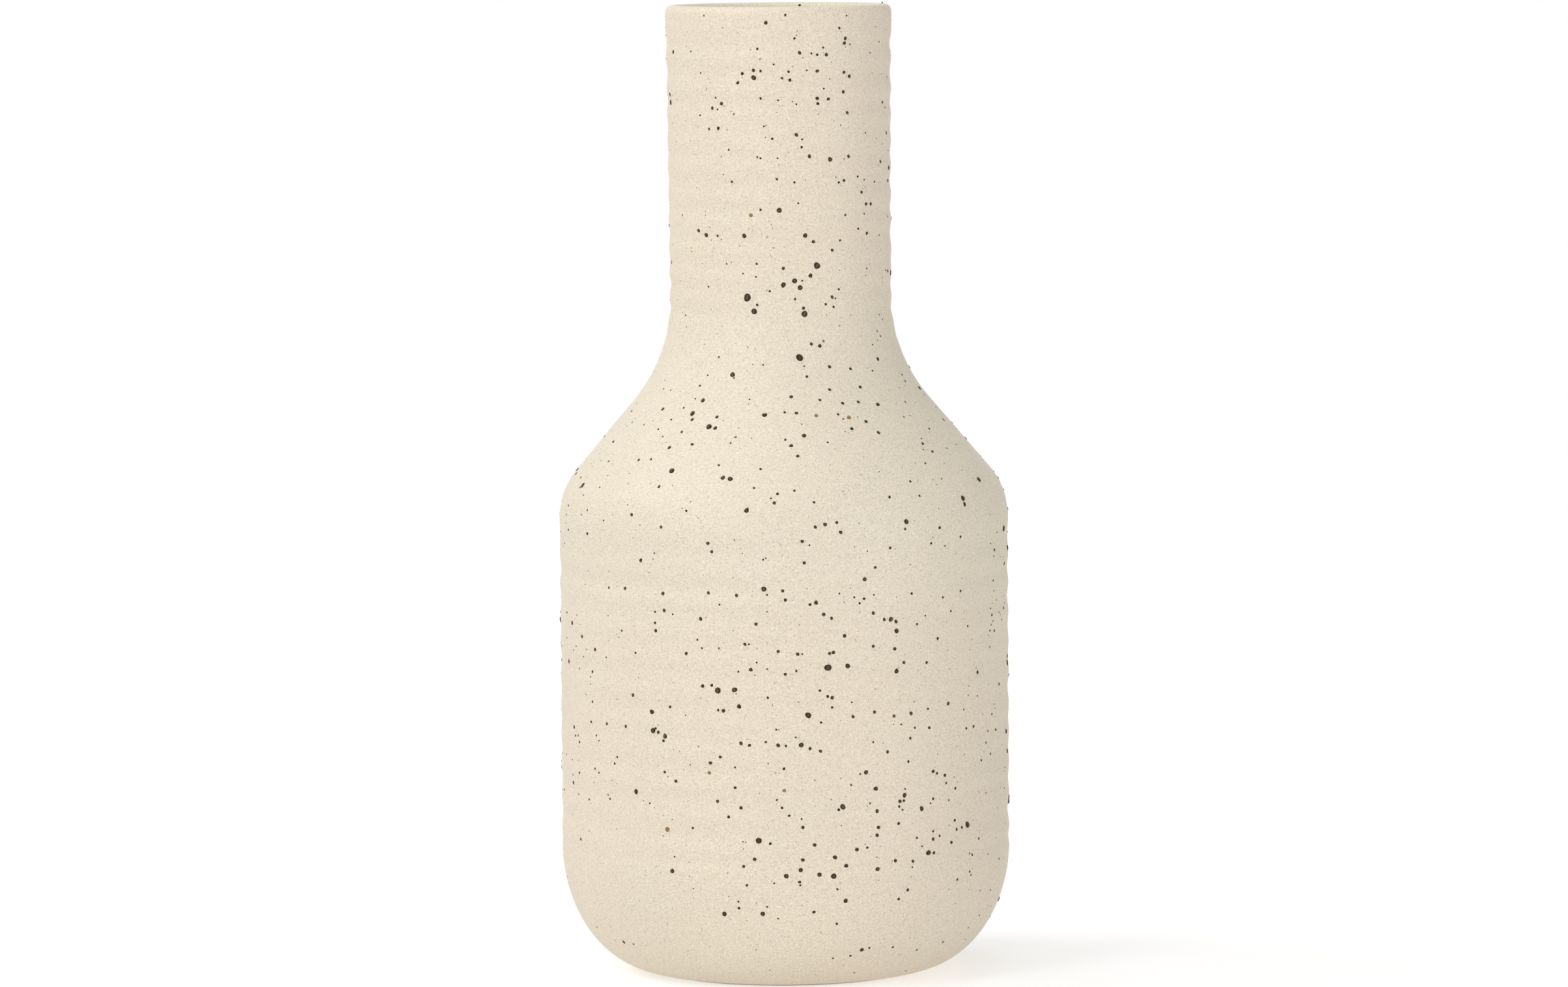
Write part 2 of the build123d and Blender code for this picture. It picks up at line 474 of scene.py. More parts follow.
@dataclass
class VaseForm:
    """Outline of the glazed vase with its throwing rings and the small faults of handwork.

    Attributes:
        height: height of the lip.
        barrel_radius: greatest radius.
        foot_lift: height of the glaze's lower edge over the table.
        rim_radius: radius of the rim, and so on for the other sizes of the outline.
        neck_ring_depth: mean depth of the neck's rings.
        barrel_ring_depth: mean depth of the barrel's rings.
        neck_crests: heights of the neck's ring crests, from below.
        barrel_crests: heights of the barrel's ring crests, from below.
        grooves: height, half width and depth of the tool lines under the neck and at the shoulder.
        ring_wobble: how far a ring strays from its height on its way round.
        out_of_round: how far the wall strays from a true circle.
        neck_lean: how far the neck stands to the side.
        step: distance of the points along the outline.
        probe: half the distance over which the surface's slope is taken, in height.
        probe_turn: the same as an angle.
        sight_margins: how far before and beyond the axis a line of sight is searched.
        sight_step: step of that search.
        seed: seed of the rings' moods.
        ring_moods: each ring's strength and the phases of its two swells.
    """

    height: float
    barrel_radius: float
    foot_lift: float
    rim_radius: float = 33.9 * MM
    neck_radius: float = 33.3 * MM
    neck_length: float = 88.0 * MM
    foot_radius: float = 39.0 * MM
    foot_ring_width: float = 7.0 * MM
    foot_recess: float = 1.2 * MM
    neck_curve_radius: float = 46.0 * MM
    shoulder_curve_radius: float = 22.7 * MM
    shoulder_slope: float = math.radians(40.1)
    base_curve_height: float = 38.5 * MM
    wall: float = 4.2 * MM
    floor_thickness: float = 6.5 * MM
    glaze: float = 0.5 * MM
    neck_ring_depth: float = 0.35 * MM
    barrel_ring_depth: float = 0.34 * MM
    neck_crests: tuple[float, ...] = tuple(
        z * MM for z in (195.3, 202.7, 209.8, 217.4, 225.8, 233.3, 242.1, 249.5, 257.5, 265.0, 274.5, 282.2)
    )
    barrel_crests: tuple[float, ...] = tuple(
        z * MM for z in (37.0, 43.2, 53.2, 62.4, 72.0, 80.4, 89.8, 99.0, 107.8, 116.6, 125.4, 136.4)
    )
    grooves: tuple[tuple[float, float, float], ...] = (
        (191.0 * MM, 3.2 * MM, 0.12 * MM),
        (140.5 * MM, 2.6 * MM, 0.12 * MM),
    )
    ring_wobble: float = 0.45 * MM
    out_of_round: float = 0.16 * MM
    neck_lean: float = -0.35 * MM
    step: float = 0.8 * MM
    probe: float = 0.2 * MM
    probe_turn: float = 0.002
    sight_margins: Pair = (0.1, 0.02)
    sight_step: float = 0.05 * MM
    seed: int = 5
    ring_moods: list[tuple[float, float, float]] = field(default_factory=list)

    def __post_init__(self) -> None:
        """Works out the heights between the stretches of the outline and draws each ring's own mood."""
        turn = self.shoulder_slope
        self.lip_radius = self.wall / 2
        self.lip_z = self.height - self.lip_radius
        self.neck_base_z = self.height - self.neck_length
        self.barrel_foot_z = self.foot_lift + self.base_curve_height
        self.floor_z = self.foot_lift + self.floor_thickness
        cone_top_radius = self.neck_radius + self.neck_curve_radius * (1 - math.cos(turn))
        cone_foot_radius = self.barrel_radius - self.shoulder_curve_radius * (1 - math.cos(turn))
        cone_drop = (cone_foot_radius - cone_top_radius) / math.tan(turn)
        curve_drop = (self.neck_curve_radius + self.shoulder_curve_radius) * math.sin(turn)
        self.barrel_top_z = self.neck_base_z - cone_drop - curve_drop
        draw = random.Random(self.seed)
        rings = len(self.neck_crests) + len(self.barrel_crests)
        self.ring_moods = [
            (draw.uniform(0.65, 1.3), draw.uniform(0, math.tau), draw.uniform(0, math.tau))
            for _ in range(rings)
        ]
        outline = self.outline(0.0)
        self.outline_radii, self.outline_heights = outline[:, 0], outline[:, 1]

    def arc(self, centre: Pair, radii: Pair, start: float, size: float) -> np.ndarray:
        """Points along an arc of a circle or ellipse.

        Args:
            centre: radius and height of the centre.
            radii: half width and half height.
            start: angle of the first point, from straight outwards.
            size: angle from the first point to the last.

        Returns:
            Radius and height of each point.
        """
        count = max(9, round(abs(size) * max(radii) / self.step))
        angles = start + size * np.linspace(0, 1, count)
        return np.column_stack([centre[0] + radii[0] * np.cos(angles), centre[1] + radii[1] * np.sin(angles)])

    def straight(self, start: np.ndarray, end: np.ndarray) -> np.ndarray:
        """Points between two ends, without the ends themselves."""
        count = round(float(np.linalg.norm(end - start)) / self.step)
        share = np.linspace(0, 1, count + 1)[1:-1, None]
        return start + (end - start) * share

    def outline(self, depth: float, inside: bool = False) -> np.ndarray:
        """Smooth outline of the wall from the flat of its base up to the lip.

        Args:
            depth: depth under the outside of the glaze.
            inside: true for the surfaces round the hollow, which have the floor's own base curve.

        Returns:
            Radius and height of each point, from below.
        """
        base_width = self.barrel_radius - self.foot_radius - depth
        base_height = self.base_curve_height - depth
        if inside:
            base_height = self.barrel_foot_z - self.floor_z + self.wall - depth
        turn = self.shoulder_slope
        base = (self.foot_radius, self.barrel_foot_z)
        shoulder = (self.barrel_radius - self.shoulder_curve_radius, self.barrel_top_z)
        neck = (self.neck_radius + self.neck_curve_radius, self.neck_base_z)
        shoulder_radius = self.shoulder_curve_radius - depth
        neck_radius = self.neck_curve_radius + depth
        base_curve = self.arc(base, (base_width, base_height), -math.pi / 2, math.pi / 2)
        shoulder_curve = self.arc(shoulder, (shoulder_radius, shoulder_radius), 0.0, turn)
        neck_curve = self.arc(neck, (neck_radius, neck_radius), math.pi + turn, -turn)
        share = np.linspace(0, 1, round((self.lip_z - self.neck_base_z) / self.step))
        neck_radii = self.neck_radius + (self.rim_radius - self.neck_radius) * share**2 - depth
        neck_heights = self.neck_base_z + (self.lip_z - self.neck_base_z) * share
        stretches = [
            base_curve,
            self.straight(base_curve[-1], shoulder_curve[0]),
            shoulder_curve,
            self.straight(shoulder_curve[-1], neck_curve[0]),
            neck_curve,
            np.column_stack([neck_radii, neck_heights])[1:],
        ]
        return np.vstack(stretches)

    def lip(self, depth: float) -> np.ndarray:
        """Points over the lip from the outside to the mouth, a depth under the outside of the glaze."""
        radius = self.lip_radius - depth
        return self.arc((self.rim_radius - self.lip_radius, self.lip_z), (radius, radius), 0.0, math.pi)

    def ring_dip(self, z: np.ndarray, turn: np.ndarray) -> np.ndarray:
        """Depth of the throwing rings and tool lines.

        Args:
            z: heights.
            turn: angles round the vase from the front.

        Returns:
            Depth under the smooth outline at each place.
        """
        z = z + self.ring_wobble * (np.sin(turn + 0.6) * 0.6 + np.sin(2 * turn + z * 70.0) * 0.4)
        dip = np.zeros_like(z)
        first = 0
        zones = ((self.neck_crests, self.neck_ring_depth), (self.barrel_crests, self.barrel_ring_depth))
        for crests, depth in zones:
            for index, (low, high) in enumerate(zip(crests, crests[1:])):
                strength, phase, second_phase = self.ring_moods[first + index]
                share = np.clip((z - low) / (high - low), 0, 1)
                mood = strength * (1 + 0.28 * np.sin(turn + phase) + 0.16 * np.sin(3 * turn + second_phase))
                dip += depth * mood * (1 - np.cos(2 * np.pi * share)) / 2
            first += len(crests)
        for height, half_width, depth in self.grooves:
            share = np.clip(np.abs(z - height) / half_width, 0, 1)
            dip += depth * (1 + np.cos(np.pi * share)) / 2
        return dip

    def offset(self, z: np.ndarray, turn: np.ndarray) -> np.ndarray:
        """How far the surface stands out from the smooth outline.

        Args:
            z: heights.
            turn: angles round the vase from the front.

        Returns:
            Distance outwards at each place.
        """
        z = np.minimum(z, self.lip_z)
        swell = np.sin(2 * turn + 0.7) * 0.6 + np.sin(3 * turn + z * 22.0) * 0.4
        calm = np.clip(z / self.base_curve_height, 0, 1)
        return self.out_of_round * swell * calm - self.ring_dip(z, turn)

    def lean(self, z: np.ndarray) -> np.ndarray:
        """Sideways lean of the neck at each height."""
        share = np.clip((z - self.barrel_top_z) / (self.neck_base_z - self.barrel_top_z), 0, 1)
        return self.neck_lean * share**2 * (3 - 2 * share)

    def wrap(self, radius: np.ndarray, z: np.ndarray, turn: np.ndarray) -> np.ndarray:
        """Points in space at the given radii, heights and angles, with the neck's lean."""
        return np.stack([radius * np.sin(turn) + self.lean(z), -radius * np.cos(turn), z], axis=-1)

    def radius(self, z: np.ndarray, turn: np.ndarray) -> np.ndarray:
        """Radius of the glaze's outside at the given heights and angles."""
        return np.interp(z, self.outline_heights, self.outline_radii) + self.offset(z, turn)

    def surface(self, z: np.ndarray, turn: np.ndarray) -> np.ndarray:
        """Points on the glaze's outside at the given heights and angles."""
        return self.wrap(self.radius(z, turn), z, turn)

    def normal(self, z: np.ndarray, turn: np.ndarray) -> np.ndarray:
        """Directions straight out of the glaze at the given heights and angles."""
        along = self.surface(z + self.probe, turn) - self.surface(z - self.probe, turn)
        around = self.surface(z, turn + self.probe_turn) - self.surface(z, turn - self.probe_turn)
        out = np.cross(around, along)
        return out / np.linalg.norm(out, axis=-1, keepdims=True)

    def meet(self, eye: np.ndarray, ray: np.ndarray) -> tuple[float, float]:
        """Where a line of sight first meets the glaze.

        Args:
            eye: point that it starts from.
            ray: its direction, with a length of one.

        Returns:
            Height and angle of the place.
        """
        reach = float(np.linalg.norm(eye[:2]))
        before, beyond = self.sight_margins
        distances = np.arange(reach - before, reach + beyond, self.sight_step)
        points = eye + distances[:, None] * ray
        across, z = points[:, 0] - self.lean(points[:, 2]), points[:, 2]
        turn = np.arctan2(across, -points[:, 1])
        within = np.hypot(across, points[:, 1]) < self.radius(z, turn)
        first = int(np.argmax(within))
        return float(z[first]), float(turn[first])


@dataclass
class PhotoCamera:
    """The camera that took the photograph.

    Attributes:
        picture: width and height of the photograph in pixels.
        place: where it stands.
        aim: point that it looks at.
        lens: focal length in millimetres.
        sensor: width of the sensor in millimetres.
        roll: turn of the camera about its own line of sight.
    """

    picture: tuple[int, int] = (2408, 1515)
    place: tuple[float, float, float] = (0.0, -2.320, 0.3366)
    aim: tuple[float, float, float] = (0.0002, 0.0, 0.14335)
    lens: float = 177.9
    sensor: float = 36.0
    roll: float = math.radians(0.45)

    def facing(self) -> Matrix:
        """Turn of the camera in space."""
        towards = Vector(self.aim) - Vector(self.place)
        return towards.to_track_quat("-Z", "Y").to_matrix() @ Matrix.Rotation(-self.roll, 3, "Z")

    def ray(self, pixel: Pixel) -> np.ndarray:
        """Direction of the line of sight through a pixel of the photograph.

        Args:
            pixel: column and row in the photograph.

        Returns:
            Direction with a length of one.
        """
        width, height = self.picture
        scale = self.sensor / self.lens / width
        sight = Vector(((pixel[0] - width / 2) * scale, (height / 2 - pixel[1]) * scale, -1.0))
        return np.array((self.facing() @ sight).normalized())

    def build(self) -> None:
        """Sets up the camera in the scene."""
        data = bpy.data.cameras.new("photo_camera")
        data.sensor_fit = "HORIZONTAL"
        data.sensor_width = self.sensor
        data.lens = self.lens
        data.clip_end = 100.0
        camera = bpy.data.objects.new("photo_camera", data)
        bpy.context.scene.collection.objects.link(camera)
        camera.matrix_world = Matrix.Translation(self.place) @ self.facing().to_4x4()
        bpy.context.scene.camera = camera


@dataclass
class VasePiece:
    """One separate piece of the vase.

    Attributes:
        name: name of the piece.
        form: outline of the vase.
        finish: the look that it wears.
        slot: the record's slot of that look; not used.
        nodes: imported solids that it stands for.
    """

    name: str
    form: VaseForm
    finish: Finish
    slot: Slot
    nodes: tuple[Node, ...] = ()

    def build(self) -> bpy.types.Object:
        """Builds the piece's mesh."""
        raise NotImplementedError

    def dress(self, piece: bpy.types.Object) -> None:
        """Gives the piece its look.

        Args:
            piece: the built piece.
        """
        piece.data.materials.append(self.finish.material())

    def settle(self) -> None:
        """Builds and dresses the piece, joins it to the vase's body and reports it."""
        piece = self.build()
        self.dress(piece)
        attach(piece, BODY)
        if self.nodes:
            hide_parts(*(node.value for node in self.nodes))
        stands_for = ", ".join(node.value for node in self.nodes) or "no packed solid"
        LOG.info("%s: %d faces, stands for %s", piece.name, len(piece.data.polygons), stands_for)


@dataclass
class TurnedPiece(VasePiece):
    """A piece made by turning a profile about the vase's axis.

    Attributes:
        sides: number of steps round the vase.
    """

    sides: int = 240

    def profile(self) -> np.ndarray:
        """Radius and height of each point of the profile, with the piece on the left on the way along it."""
        raise NotImplementedError

    def follow(self, profile: np.ndarray) -> np.ndarray:
        """How much each point of the profile follows the handmade unevenness, from 0 to 1.

        Args:
            profile: radius and height of each point.

        Returns:
            The share for each point.
        """
        return np.ones(len(profile))

    def inner_follow(self, profile: np.ndarray) -> np.ndarray:
        """Share for each point of a surface round the hollow, which is calmer than the outside.

        Args:
            profile: radius and height of each point.

        Returns:
            The share for each point.
        """
        form = self.form
        heights = [form.floor_z, form.barrel_foot_z, form.barrel_top_z, form.neck_base_z]
        return np.interp(profile[:, 1], heights, [0.0, 0.6, 0.6, 1.0])

    def build(self) -> bpy.types.Object:
        """Turns the profile into a closed mesh.

        A profile that begins and ends on the axis is closed there by a point, and any other end to end.

        Returns:
            The new object.
        """
        profile = self.profile()
        follow = self.follow(profile)
        capped = profile[0, 0] == 0.0
        body = profile[1:-1] if capped else profile
        weight = follow[1:-1] if capped else follow
        turn, z = np.meshgrid(np.arange(self.sides) * math.tau / self.sides, body[:, 1])
        radius = body[:, :1] + self.form.offset(z, turn) * weight[:, None]
        points = self.form.wrap(radius, z, turn).reshape(-1, 3)
        rows = len(body)
        row, side = np.meshgrid(np.arange(rows - 1 if capped else rows), np.arange(self.sides), indexing="ij")
        this, above = row * self.sides, (row + 1) % rows * self.sides
        beside = (side + 1) % self.sides
        corners = [this + side, this + beside, above + beside, above + side]
        faces = np.stack(corners, axis=-1).reshape(-1, 4).tolist()
        if capped:
            first, last, top = len(points), len(points) + 1, (rows - 1) * self.sides
            points = np.vstack([points, [[0, 0, profile[0, 1]], [0, 0, profile[-1, 1]]]])
            for index in range(self.sides):
                following = (index + 1) % self.sides
                faces.append([first, following, index])
                faces.append([last, top + index, top + following])
        return new_mesh_object(self.name, points, faces)


@dataclass
class ClayBody(TurnedPiece):
    """The thrown clay: wall, floor and lip, and the bare foot ring with its trimmed recess.

    Attributes:
        edge: rounding of the foot ring's edges.
        trim_pitch: distance of the trimming rings in the recess.
        trim_depth: depth of the trimming rings.
    """

    edge: float = 0.35 * MM
    trim_pitch: float = 2.6 * MM
    trim_depth: float = 0.09 * MM

    def foot(self) -> np.ndarray:
        """Points of the underside, from the axis out to the foot ring's outer edge.

        Returns:
            Radius and height of each point.
        """
        form = self.form
        inner = form.foot_radius - form.foot_ring_width
        radii = np.linspace(0, inner - 2 * self.edge, 120)
        heights = form.foot_recess + self.trim_depth * (np.cos(math.tau * radii / self.trim_pitch) - 1) / 2
        recess = np.column_stack([radii, heights])
        corners = (self.edge, self.edge)
        inner_edge = form.arc((inner, self.edge), corners, math.pi, math.pi / 2)
        outer_edge = form.arc((form.foot_radius - self.edge, self.edge), corners, -math.pi / 2, math.pi / 2)
        return np.vstack([recess, inner_edge, outer_edge])

    def profile(self) -> np.ndarray:
        """Radius and height of each point, from under the floor round the wall to the floor's top."""
        form = self.form
        outside = form.outline(form.glaze)
        inside = form.outline(form.wall - form.glaze, inside=True)[::-2]
        floor = np.array([[0.0, form.floor_z - form.glaze]])
        return np.vstack([self.foot(), outside, form.lip(form.glaze)[1:-1], inside, floor])

    def follow(self, profile: np.ndarray) -> np.ndarray:
        """How much each point follows the unevenness: all of it outside, and less of it round the hollow."""
        turning = int(np.argmax(profile[:, 1]))
        return np.where(np.arange(len(profile)) <= turning, 1.0, self.inner_follow(profile))


@dataclass
class OuterCoat(TurnedPiece):
    """Coat of glaze on the outside, from the foot up and over the lip to the mouth."""

    def profile(self) -> np.ndarray:
        """Radius and height of each point, up the outside, over the lip and back along the clay."""
        form = self.form
        under = form.outline(form.glaze)[::-2]
        return np.vstack([form.outline(0.0), form.lip(0.0)[1:], form.lip(form.glaze)[::-1], under[1:]])


@dataclass
class LinerCoat(TurnedPiece):
    """Liner coat on the inside of the wall and on the floor."""

    def profile(self) -> np.ndarray:
        """Radius and height of each point, along the clay to the mouth and back down the hollow."""
        form = self.form
        back = form.outline(form.wall - form.glaze, inside=True)
        hollow = form.outline(form.wall, inside=True)[::-1]
        radii = np.linspace(0, form.foot_radius, 25)[:-1]
        under = np.column_stack([radii, np.full(len(radii), form.floor_z - form.glaze)])
        top = np.column_stack([radii[::-1], np.full(len(radii), form.floor_z)])
        return np.vstack([under, back, hollow, top])

    def follow(self, profile: np.ndarray) -> np.ndarray:
        """How much each point follows the unevenness: less than the outside does."""
        return self.inner_follow(profile)


@dataclass(frozen=True)
class SpeckSite:
    """Where one speck sits on the glaze.

    Attributes:
        z: height.
        turn: angle round the vase from the front.
        width: width of the speck.
    """

    z: float
    turn: float
    width: float


@dataclass
class Specks(VasePiece):
    """Specks as melted blisters: uneven low domes that run into the glaze at their edge.

    Attributes:
        seed: seed of their shapes and places.
        rise: height of a dome as a share of its width.
        sides: number of steps round a dome.
        dome: reach and rise of each row of a dome as shares, and how far it is melted, from the edge inwards.
        heart_rise: rise of a dome's middle as a share.
        painted_glint: strength of the painted highlight, a pale streak across a dome's middle, from the edge
            inwards and in the middle.
        painted_glint_width: width of a speck from which on it has the painted highlight.
        root: depth of a dome's root in the glaze.
        waves: number and greatest share of the swells round a dome's edge.
        stray: how far a dome's middle strays, as a share of half its width.
        foot_margin: least height of a dome's points over the glaze's lower edge.
    """

    MELT = "melt"
    # Point attribute that holds the painted highlight.
    PAINTED_GLINT = "painted_glint"

    seed: int = 1
    rise: float = 0.17
    sides: int = 18
    dome: tuple[tuple[float, float, float], ...] = (
        (1.0, 0.0, 0.0),
        (0.96, 0.1, 0.35),
        (0.86, 0.5, 0.8),
        (0.68, 0.86, 1.0),
        (0.44, 1.0, 1.0),
        (0.2, 0.97, 1.0),
    )
    heart_rise: float = 0.88
    painted_glint: tuple[float, ...] = (0.0, 0.0, 0.0, 0.1, 0.55, 0.9, 1.0)
    painted_glint_width: float = 0.95 * MM
    root: float = 0.12 * MM
    waves: tuple[tuple[int, float], ...] = ((2, 0.13), (3, 0.07), (5, 0.03))
    stray: float = 0.12
    foot_margin: float = 0.3 * MM

    def sites(self, draw: random.Random) -> list[SpeckSite]:
        """Where the specks sit.

        Args:
            draw: source of chance.

        Returns:
            One site for each speck.
        """
        raise NotImplementedError

    def blister(self, site: SpeckSite, draw: random.Random) -> tuple[np.ndarray, list[float], list[float]]:
        """Builds one blister on the glaze.

        Args:
            site: where it sits.
            draw: source of its uneven shape.

        Returns:
            Its points, how far each of them is melted, and how strong the painted highlight is there.
        """
        form = self.form
        angles = np.arange(self.sides) * math.tau / self.sides
        uneven = np.ones(self.sides)
        for wave, most in self.waves:
            uneven += draw.uniform(0.0, most) * np.sin(wave * angles + draw.uniform(0, math.tau))
        heart = (draw.uniform(-self.stray, self.stray), draw.uniform(-self.stray, self.stray))
        rise = self.rise * site.width * draw.uniform(0.8, 1.2)
        # Painted highlight: a pale streak across the middle of the wider specks, at a chance angle.
        pale = draw.uniform(0.25, 1.0) if site.width > self.painted_glint_width else 0.0
        along_painted_glint = pale * np.cos(angles - draw.gauss(math.pi / 2, 0.45)) ** 2
        half = site.width / 2
        across, along, lift, melt, painted_glint = [], [], [], [], []
        for (reach, share, melted), painted_glint_share in zip(self.dome, self.painted_glint):
            across.extend(half * (reach * uneven * np.cos(angles) + heart[0] * (1 - reach)))
            along.extend(half * (reach * uneven * np.sin(angles) + heart[1] * (1 - reach)))
            lift.extend([rise * share if share > 0 else -self.root] * self.sides)
            melt.extend([melted] * self.sides)
            painted_glint.extend(painted_glint_share * along_painted_glint)
        across.extend([half * heart[0], 0.0])
        along.extend([half * heart[1], 0.0])
        lift.extend([rise * self.heart_rise, -self.root])
        melt.extend([1.0, 0.0])
        painted_glint.extend([self.painted_glint[-1] * pale, 0.0])
        normal = form.normal(np.array([site.z]), np.array([site.turn]))[0]
        steepness = math.sqrt(max(0.0, 1.0 - normal[2] ** 2))
        radius = float(np.interp(site.z, form.outline_heights, form.outline_radii))
        z = np.maximum(site.z + np.array(along) * steepness, form.foot_lift + self.foot_margin)
        turn = site.turn + np.array(across) / radius
        return form.surface(z, turn) + form.normal(z, turn) * np.array(lift)[:, None], melt, painted_glint

    def dome_faces(self) -> list[list[int]]:
        """Faces of a closed dome: its rows, its heart on top and its root below.

        Returns:
            Corner numbers of each face.
        """
        faces = []
        rows = len(self.dome)
        top, bottom, last = rows * self.sides, rows * self.sides + 1, (rows - 1) * self.sides
        for side in range(self.sides):
            beside = (side + 1) % self.sides
            for low in range(0, last, self.sides):
                high = low + self.sides
                faces.append([low + side, low + beside, high + beside, high + side])
            faces.append([last + side, last + beside, top])
            faces.append([beside, side, bottom])
        return faces

    def build(self) -> bpy.types.Object:
        """Builds all blisters as one mesh.

        Returns:
            The new object.
        """
        draw = random.Random(self.seed)
        points, faces, melt, painted_glint = [], [], [], []
        dome_faces = self.dome_faces()
        for site in self.sites(draw):
            blister_points, blister_melt, blister_slit = self.blister(site, draw)
            faces.extend([corner + len(melt) for corner in face] for face in dome_faces)
            points.append(blister_points)
            melt.extend(blister_melt)
            painted_glint.extend(blister_slit)
        piece = new_mesh_object(self.name, np.vstack(points), faces)
        for name, shares in ((self.MELT, melt), (self.PAINTED_GLINT, painted_glint)):
            attribute = piece.data.attributes.new(name, "FLOAT", "POINT")
            attribute.data.foreach_set("value", shares)
        return piece


@dataclass
class PackedSpecks(Specks):
    """The specks that are solids in the frame, each remade where its solid sits.

    Attributes:
        solids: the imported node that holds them.
        weld: distance within which two corners are one.
    """

    solids: bpy.types.Object | None = None
    weld: float = 0.001 * MM

    def sites(self, draw: random.Random) -> list[SpeckSite]:
        """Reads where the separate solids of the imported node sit.

        Args:
            draw: source of chance, not needed here.

        Returns:
            One site for each solid.
        """
        mesh = self.solids.data
        corners = np.empty(len(mesh.vertices) * 3)
        mesh.vertices.foreach_get("co", corners)
        corners = corners.reshape(-1, 3)
        first: dict[tuple[int, ...], int] = {}
        keys = np.round(corners / self.weld).astype(int).tolist()
        parent = [first.setdefault(tuple(key), index) for index, key in enumerate(keys)]

        def root_of(index: int) -> int:
            """First corner of the solid that a corner belongs to."""
            while parent[index] != index:
                parent[index] = parent[parent[index]]
                index = parent[index]
            return index

        for polygon in mesh.polygons:
            start = root_of(polygon.vertices[0])
            for corner in polygon.vertices[1:]:
                parent[root_of(corner)] = start
        solids: dict[int, list[int]] = {}
        for index in range(len(corners)):
            solids.setdefault(root_of(index), []).append(index)
        return [self.site_of(corners[members]) for members in solids.values()]

    @staticmethod
    def site_of(corners: np.ndarray) -> SpeckSite:
        """Site of the speck whose solid has these corners."""
        centre = corners.mean(axis=0)
        width = 2.0 * float(np.linalg.norm(corners - centre, axis=1).max())
        return SpeckSite(float(centre[2]), math.atan2(centre[0], -centre[1]), width)


@dataclass
class FineSpecks(Specks):
    """The many smaller specks between the large ones.

    Attributes:
        camera: the camera that took the photograph.
        seen: columns and rows of the specks of each width, read off the photograph.
        behind: number of specks strewn over the sides and back, which the photograph doesn't show.
        pepper: number of the finest specks strewn all round.
        pepper_widths: least and greatest width of those.
        front_half: angle to both sides of the front where the photograph shows the specks.
        width_spread: least and greatest share of its class's width that a speck has.
        margins: bare height over the foot and under the lip.
    """

    camera: PhotoCamera = field(default_factory=PhotoCamera)
    seen: dict[SpeckWidth, tuple[Pixel, ...]] = field(default_factory=dict)
    behind: int = 430
    pepper: int = 900
    pepper_widths: Pair = (0.26 * MM, 0.42 * MM)
    front_half: float = 0.48 * math.pi
    width_spread: Pair = (0.92, 1.08)
    margins: Pair = (1.5 * MM, 0.6 * MM)

    def sites(self, draw: random.Random) -> list[SpeckSite]:
        """Where the specks sit.

        Args:
            draw: source of chance.

        Returns:
            One site for each speck.
        """
        eye = np.array(self.camera.place)
        sites = []
        for width, pixels in self.seen.items():
            for pixel in pixels:
                z, turn = self.form.meet(eye, self.camera.ray(pixel))
                sites.append(SpeckSite(z, turn, width * draw.uniform(*self.width_spread)))
        widths = [width for width, pixels in self.seen.items() for _ in pixels]
        sites += [self.strewn(draw, self.front_half, draw.choice(widths)) for _ in range(self.behind)]
        sites += [self.strewn(draw, 0.0, draw.uniform(*self.pepper_widths)) for _ in range(self.pepper)]
        return sites

    def strewn(self, draw: random.Random, bare: float, width: float) -> SpeckSite:
        """Site of a speck by chance, with the same density all over.

        Args:
            draw: source of chance.
            bare: angle to both sides of the front that stays free.
            width: width of the speck.

        Returns:
            The site.
        """
        form = self.form
        z = radius = 0.0
        while radius <= draw.random() * form.barrel_radius:
            z = draw.uniform(form.foot_lift + self.margins[0], form.lip_z - self.margins[1])
            radius = float(np.interp(z, form.outline_heights, form.outline_radii))
        return SpeckSite(z, draw.uniform(bare, math.tau - bare), width)


@dataclass(frozen=True)
class Lamp:
    """A soft rectangular lamp that faces the vase.

    Attributes:
        name: name of the lamp.
        place: where it hangs.
        size: its width and height.
        power: its power in watts.
    """

    name: str
    place: tuple[float, float, float]
    size: tuple[float, float]
    power: float

    def hang(self, aim: Vector) -> None:
        """Hangs the lamp in the scene.

        Args:
            aim: point that it faces.
        """
        lamp = bpy.data.lights.new(self.name, "AREA")
        lamp.shape = "RECTANGLE"
        lamp.size, lamp.size_y = self.size
        lamp.energy = self.power
        holder = bpy.data.objects.new(self.name, lamp)
        bpy.context.scene.collection.objects.link(holder)
        holder.location = self.place
        holder.rotation_euler = (aim - holder.location).to_track_quat("-Z", "Y").to_euler()


